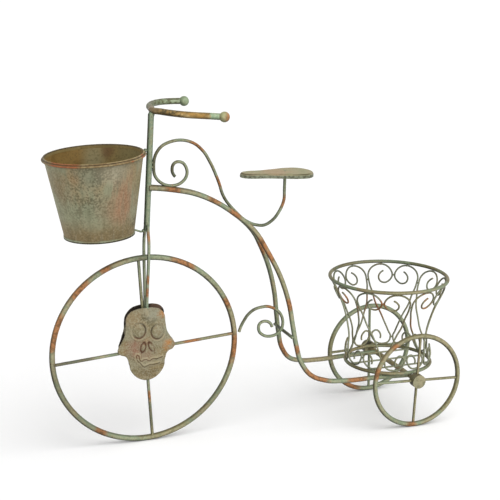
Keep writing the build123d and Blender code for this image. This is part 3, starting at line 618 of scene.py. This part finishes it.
# The palest wash, high on the front right of the middle, is a painted highlight.
WASHES = (
    (-0.33, -0.03, 0.43, 0.04, 0.7, (142, 118, 82)), (-0.287, -0.066, 0.45, 0.036, 0.6, (136, 146, 124)),
    (-0.295, -0.06, 0.4, 0.035, 0.5, (130, 136, 108)), (-0.25, -0.067, 0.457, 0.036, 0.8, (182, 174, 148)),
    (-0.25, -0.064, 0.4, 0.04, 0.7, (158, 136, 104)), (-0.313, -0.062, 0.443, 0.016, 0.75, (168, 124, 80)),
    (-0.315, -0.06, 0.407, 0.017, 0.7, (152, 122, 72)))
RIGHT_WASH = (-0.205, -0.035, 0.43, 0.035, 0.5, (140, 136, 98))


def upright_pail(place):
    """How high up the pail's own axis a place is, and how far out from it."""
    stood = place.node("ShaderNodeMapping", {"vector_type": "TEXTURE"},
                       {"Vector": place, "Location": PAIL_FOOT, "Rotation": (0, PAIL_LEAN, 0)})
    ring = stood.node("ShaderNodeVectorMath", {"operation": "MULTIPLY"}, {0: stood, 1: (1, 1, 0)})
    return stood.axis(2), ring.length()


def crisp(depth):
    """1 where a depth in metres is above 0, with a hair's breadth of an edge."""
    return depth.step(-0.0003, 0.0003)


def pail_finish():
    material, place, _ = start_finish("pail_wash")
    up, reach = upright_pail(place)
    inside = crisp(up * WALL_SLOPE + WALL_FOOT - reach)
    inside = inside.largest((up - FLOOR_TOP).step(0, 0.0001) * (FLOOR_REACH - reach).step(0, 0.0001))
    streak = place.drawn(1, 1, 0.08).cloud(0.0035, 3)
    tall = place.drawn(1, 1, 0.45)
    stretch, patch, speck = place.cloud(0.035, 2), place.cloud(0.01, 4), place.cloud(0.0015, 4)

    def wash(colour, x, y, z, reach, strength, tint):
        there = (place.near(x, y, z, reach) + patch * 2 + speck - 1.5).step(0, 2.6)
        return (there * strength).over(colour, pigment(*tint))

    colour = (stretch * 0.5 + patch * 0.3 + streak * 0.2).step(0.42, 0.58)
    colour = colour.over(pigment(154, 154, 124), pigment(162, 142, 104))
    for blot in WASHES:
        colour = wash(colour, *blot)
    salmon = (tall.near(-0.234, -0.06, 0.182, 0.03) + streak * 3 + patch - 2.0).step(0, 2.4) * 0.8
    colour = salmon.over(colour, pigment(174, 130, 98))
    colour = wash(colour, *RIGHT_WASH)
    colour = (up * -1 + 0.034 + patch * 0.02).step(0, 0.034).over(colour, pigment(138, 120, 84))
    colour = (streak.step(0.5, 0.7) * 0.35).over(colour, pigment(164, 152, 124))
    colour = (streak.step(0.5, 0.32) * 0.3).over(colour, pigment(92, 84, 58))
    grime = speck * 0.55 + streak * 0.2 + patch * 0.25
    dark = grime.step(0.46, 0.58) * (place.near(-0.29, -0.066, 0.43, 0.06).step(0, 2.5) * 0.3 + 0.33)
    dark = dark + (place.near(-0.2, -0.035, 0.37, 0.02) + speck * 3 - 2).step(0, 1) * 0.4
    colour = dark.over(colour, pigment(72, 70, 48))
    colour = (speck.step(0.3, 0.46) * -0.3 + 0.3).over(colour, pigment(162, 158, 134))
    lining = patch.step(0.4, 0.6).over(pigment(132, 106, 56), pigment(118, 92, 44))
    rust = place.near(-0.325, -0.01, 0.46, 0.05).step(0, 2.5)
    lining = (rust * 0.8).over(lining, pigment(160, 92, 40))
    pale = tall.near(-0.245, 0.07, 0.2, 0.028).step(0, 2.5)
    lining = (pale * 0.7).over(lining, pigment(146, 140, 104))
    green = place.near(-0.2, 0.02, 0.455, 0.07).step(0, 2.5)
    lining = (green * 0.7).over(lining, pigment(134, 128, 88))
    brown = (place.near(-0.225, 0.062, 0.465, 0.016) + patch * 2 - 1).step(0, 2)
    lining = (brown * 0.5).over(lining, pigment(92, 58, 36))
    lining = (speck.step(0.52, 0.64) * 0.35).over(lining, pigment(74, 62, 34))
    colour = inside.over(colour, lining)
    return end_finish(material, colour, speck * 0.25 + 0.45, speck * 0.6 + patch * 0.6, depth=0.0004)


# The pail's edge is rolled outward from the wall: a thin lip above, a groove, and the bead below it.
# The roll is given by its section, as radius and height from the wall's top, in millimetres.
ROLLED_EDGE = ((73.3, -2.68), (73.33, -2.45), (73.55, -1.0), (73.85, 1.0), (74.15, 2.2), (74.6, 2.8),
               (75.4, 3.0), (76.2, 2.7), (76.5, 2.0), (76.2, 1.3), (76.5, 0.7), (77.6, 0.5),
               (78.5, -0.2), (78.9, -1.1), (78.5, -2.0), (77.5, -2.6), (76.3, -2.8), (75.2, -2.7),
               (74.6, -2.6), (74.5, -2.68))
BEAD_RUST = ((-0.322, -0.05, 0.47, 0.028), (-0.22, -0.07, 0.466, 0.008), (-0.2, -0.045, 0.47, 0.01))
BEAD_REACH, BEAD_UNDER, LIP_REACH, CROWN = 0.07605, 0.1208, 0.0748, 0.1236
GROOVE_FROM, GROOVE_TO = 0.1232, 0.1249


def rolled_rim():
    rim = bmesh.new()
    corners = [rim.verts.new((r / 1000, 0, z / 1000)) for r, z in ROLLED_EDGE]
    section = [rim.edges.new(pair) for pair in zip(corners, corners[1:] + corners[:1])]
    bmesh.ops.spin(rim, geom=corners + section, axis=(0, 0, 1), cent=(0, 0, 0), angle=2 * pi, steps=180,
                   use_merge=True)
    bmesh.ops.recalc_face_normals(rim, faces=rim.faces)
    stood = Matrix.Translation(PAIL_FOOT) @ Matrix.Rotation(PAIL_LEAN, 4, "Y")
    stood = stood @ Matrix.Translation((0, 0, PAIL_HEIGHT))
    bmesh.ops.transform(rim, matrix=stood, verts=rim.verts)
    for face in rim.faces:
        face.smooth = True
    made = bpy.data.objects.new("pail_rolled_rim", bpy.data.meshes.new("pail_rolled_rim"))
    rim.to_mesh(made.data)
    rim.free()
    bpy.context.scene.collection.objects.link(made)
    made.data.materials.append(bead_finish())
    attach(made, "frame")
    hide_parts("pot_rim")


def bead_finish():
    material, place, _ = start_finish("bead_tan")
    up, reach = upright_pail(place)
    patch, speck = place.cloud(0.012, 3), place.cloud(0.002, 4)
    grain, mottle = speck.step(0.4, 0.6), (patch * 0.6 + speck * 0.4).step(0.4, 0.6)
    colour = mottle.over(pigment(166, 150, 110), pigment(134, 110, 72))
    rust = grain.over(pigment(136, 74, 44), pigment(172, 104, 62))
    for x, y, z, wide in BEAD_RUST:
        there = (place.near(x, y, z, wide) + patch * 2 - 1).step(0, 1)
        colour = (there * 0.9).over(colour, rust)
    outward = crisp(reach - BEAD_REACH)
    groove = crisp(up - GROOVE_FROM) * (1 - crisp(up - GROOVE_TO)) * outward
    colour = (groove * 0.85).over(colour, grain.over(pigment(92, 72, 42), pigment(62, 52, 32)))
    # Painted shade in a thin line under the bead.
    under = (BEAD_UNDER - up).step(-0.0003, 0.0004) * outward
    colour = (under * 0.8).over(colour, SHADE_AND_WAX)
    lining = (1 - (reach - LIP_REACH).step(-0.0002, 0.0002)) * 0.9
    colour = lining.over(colour, patch.step(0.4, 0.6).over(pigment(130, 112, 66), pigment(114, 98, 54)))
    # Painted shade on the bead's far side and the far half of its crown, with dark specks all over.
    far_side = place.axis(1)
    crown = (up - CROWN).step(0, 0.001) * far_side.step(-0.025, 0.02)
    outer = (outward * far_side.step(-0.03, 0.02)).largest(crown)
    colour = (outer * 0.75 + speck.step(0.54, 0.68) * 0.3).over(colour, pigment(58, 48, 30))
    seam = place.near(-0.3167, -0.0695, 0.4675, 0.0028).step(0, 1)
    colour = (seam * 0.8).over(colour, SHADE_AND_WAX)
    return end_finish(material, colour, speck * 0.3 + 0.4, speck * 0.6 + patch * 0.5, depth=0.0003)


def foot_finish():
    material, place, _ = start_finish("pail_foot_grey")
    up = upright_pail(place)[0]
    patch, speck = place.cloud(0.014, 3), place.cloud(0.002, 4)
    colour = patch.step(0.4, 0.6).over(pigment(150, 156, 128), pigment(140, 132, 100))
    colour = (speck.step(0.5, 0.62) * 0.5).over(colour, pigment(92, 84, 58))
    under = crisp(patch * 0.0012 + 0.0014 - up)
    colour = (under * 0.9).over(colour, SHADE_AND_WAX)
    return end_finish(material, colour, speck * 0.3 + 0.42, speck * 0.6 + patch * 0.5, depth=0.0003)


dress(pail_finish(), "pot_wall", "pot_floor")
dress(foot_finish(), "pot_foot_band")
rolled_rim()

# The basket is two rod rings joined by twelve bent wires with a curl at each end.
# The wires are thin and dark, with orange brown left here and there; the rings are olive and tan.
# Painted shade darkens the back of the top ring.
ring_paint = aged_paint(
    "basket_ring_olive", olive=0.65, tan=0.6, rust=0.05, shade_and_wax=0.55, shift=10.0,
    spots=((0.345, 0.06, 0.235, 0.008),), dark_spots=((0.235, 0.1, 0.236, 0.1, 0.35),))
dress(ring_paint, "basket_top_ring", "basket_bottom_ring")
# Painted shade darkens the wires at the back of the basket.
wire_paint = aged_paint(
    "basket_wire_grey", olive=0.4, tan=0.3, rust=0.3, shade_and_wax=0.55, ground=pigment(136, 142, 118), shift=12.0,
    spots=((0.261, -0.066, 0.203, 0.022), (0.157, -0.02, 0.2, 0.022), (0.249, -0.062, 0.178, 0.02),
           (0.255, 0.06, 0.17, 0.03), (0.195, -0.07, 0.215, 0.014)),
    dark_spots=((0.25, 0.085, 0.225, 0.1, 0.45),))
dress(wire_paint, "basket_floor_wires", *("basket_scroll_%02d" % (wire + 1) for wire in range(12)))

BASKET_X, BASKET_FOOT, BASKET_HEIGHT, BASKET_DRIFT = 245.83, 88.956, 147, 4.5
FLOOR_WIRE_X, FLOOR_WIRES_Y, FLOOR_WIRE_Z, FLOOR_WIRE_BEAD = 245.8, (-36, 0, 36), 88.6, 1.9
FOOT_RING_R = 70.6
PAIRS, FIRST_PAIR, PAIR_STEP = 6, 57.5, 60
# A pair's welds: degrees off its middle, height and reach in the basket, and the bead's radius
PAIR_WELDS = ((-13.6, 142.7, 96.5, 1.9), (13.6, 142.7, 96.5, 1.9), (0, 125.3, 90.6, 1.7),
              (30, 117.8, 87.3, 1.7), (0, 17.3, 72.4, 1.7), (-11.6, 4.4, 70.3, 1.8),
              (11.6, 4.4, 70.3, 1.8), (30, 21.3, 71.9, 1.7))
beads = []
for pair in range(PAIRS):
    for turned, height, out, radius in PAIR_WELDS:
        turn = radians(FIRST_PAIR + PAIR_STEP * pair + turned)
        middle = BASKET_X - BASKET_DRIFT * height / BASKET_HEIGHT
        beads.append((middle + out * cos(turn), out * sin(turn), BASKET_FOOT + height, radius))
for y in FLOOR_WIRES_Y:
    half_wire = sqrt(FOOT_RING_R ** 2 - y * y)
    for x in (FLOOR_WIRE_X - half_wire, FLOOR_WIRE_X + half_wire):
        beads.append((x, y, FLOOR_WIRE_Z, FLOOR_WIRE_BEAD))
weld_beads("basket_welds", "frame", wire_paint, beads)

# The rear wheels are smaller hoops with four thin spokes, on the ends of a rod under the rails.
# A cap closes each hub; the near wheel is olive and tan, the far one greener, and the hubs are darker.
near_paint = aged_paint(
    "rear_wheel_tan", olive=0.9, tan=0.75, rust=0.1, shade_and_wax=0.74, shift=14.0,
    spots=((0.213, -0.089, 0.141, 0.0085), (0.1815, -0.089, 0.1, 0.012), (0.247, -0.089, 0.003, 0.01)),
    dark_spots=((0.247, -0.06, 0.0835, 0.008, 0.9),))
far_paint = aged_paint(
    "rear_wheel_green", olive=0.35, tan=0.2, rust=0.05, shade_and_wax=0.65, shift=18.0,
    spots=((0.2205, 0.089, 0.012, 0.018),))
# The axle is painted paler than the wheels, with little painted shade: painted light where it lies in shade
# under the rails.
axle_paint = aged_paint("rear_axle_tan", olive=0.6, tan=0.9, rust=0.0, shade_and_wax=0.3,
                        ground=pigment(160, 154, 122))
# Painted shade blackens the inner top of the far hub.
hub_paint = aged_paint(
    "hub_tan", olive=0.8, tan=0.5, rust=0.05, shade_and_wax=0.9, ground=pigment(122, 116, 86), shift=16.0,
    dark_spots=((0.2505, 0.078, 0.095, 0.014, 0.9),))
dress(near_paint, "rear_wheel_rim_near", "rear_wheel_spokes_near")
dress(far_paint, "rear_wheel_rim_far", "rear_wheel_spokes_far")
dress(axle_paint, "rear_axle")
dress(hub_paint, "rear_wheel_hub_near", "rear_wheel_hub_far", "hub_cap_near", "hub_cap_far")
for side, y, first, paint in (("near", -89, -2.5, near_paint), ("far", 89, 1.5, far_paint)):
    weld_beads("rear_welds_" + side, "rear_wheel_" + side, paint,
               spoke_ends(x=255.33, y=y, z=80.5, reach=73.9, first=first, bead=2.3))
